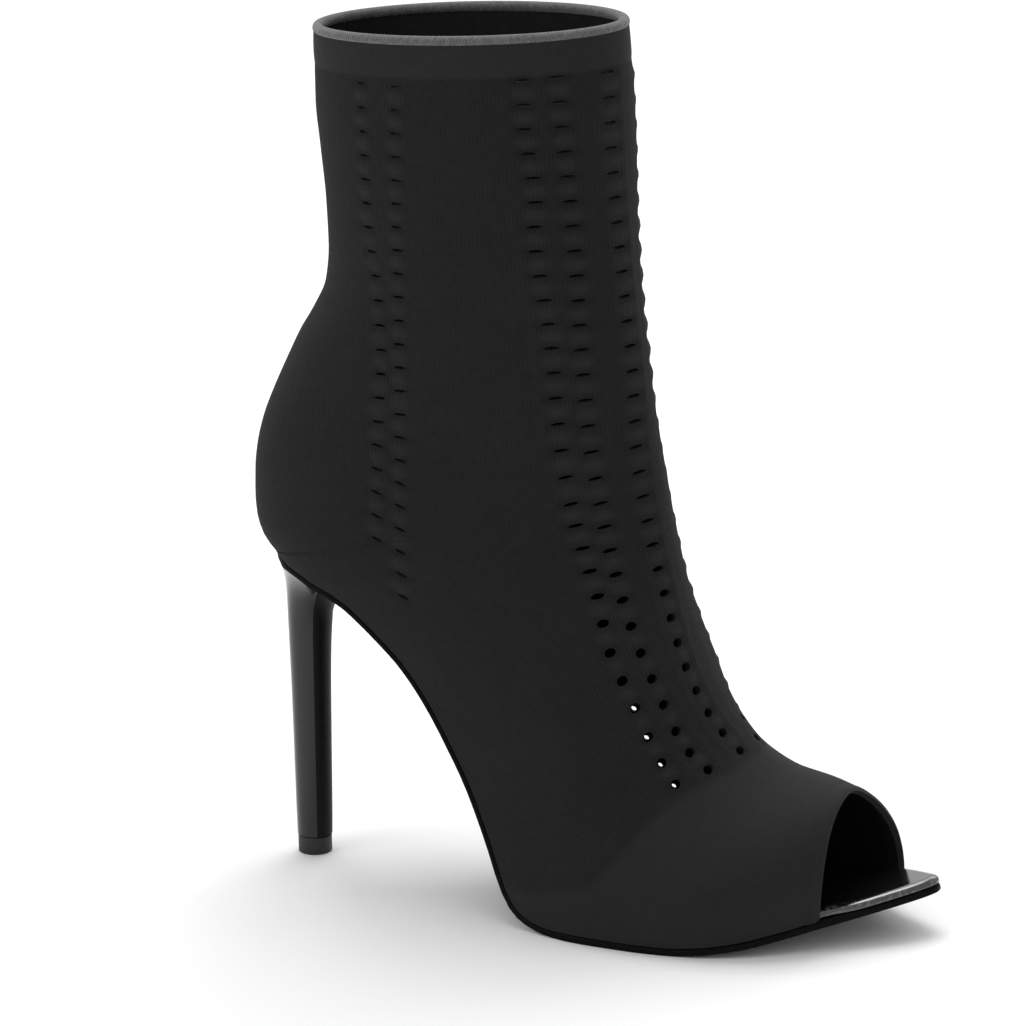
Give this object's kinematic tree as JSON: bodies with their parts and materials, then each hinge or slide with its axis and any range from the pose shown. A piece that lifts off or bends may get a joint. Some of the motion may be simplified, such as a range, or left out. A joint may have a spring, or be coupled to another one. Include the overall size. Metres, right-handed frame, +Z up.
{
  "type": "sock bootie",
  "caption": "Knitted sock bootie with a plain folded collar, ladders of small openwork holes, a peep toe and a slim high heel, standing empty on its sole.",
  "frame": {"origin": "on the floor, under the middle of the shoe's box", "axes": "+X to the toe, +Y to the wearer's left, the inner side of this right shoe, +Z up"},
  "size_m": [0.2064, 0.0802, 0.2543],
  "materials": {
    "knit": "matt black stretch knit",
    "footbed": "smooth black, half gloss",
    "sole": "black, polished edge",
    "heel_cover": "glossy black",
    "heel_tip": "matt black"
  },
  "bodies": {
    "root": {"upper": "knit", "insole": "footbed", "outsole": "sole", "heel": "heel_cover", "top_piece": "heel_tip"}
  },
  "joints": []
}
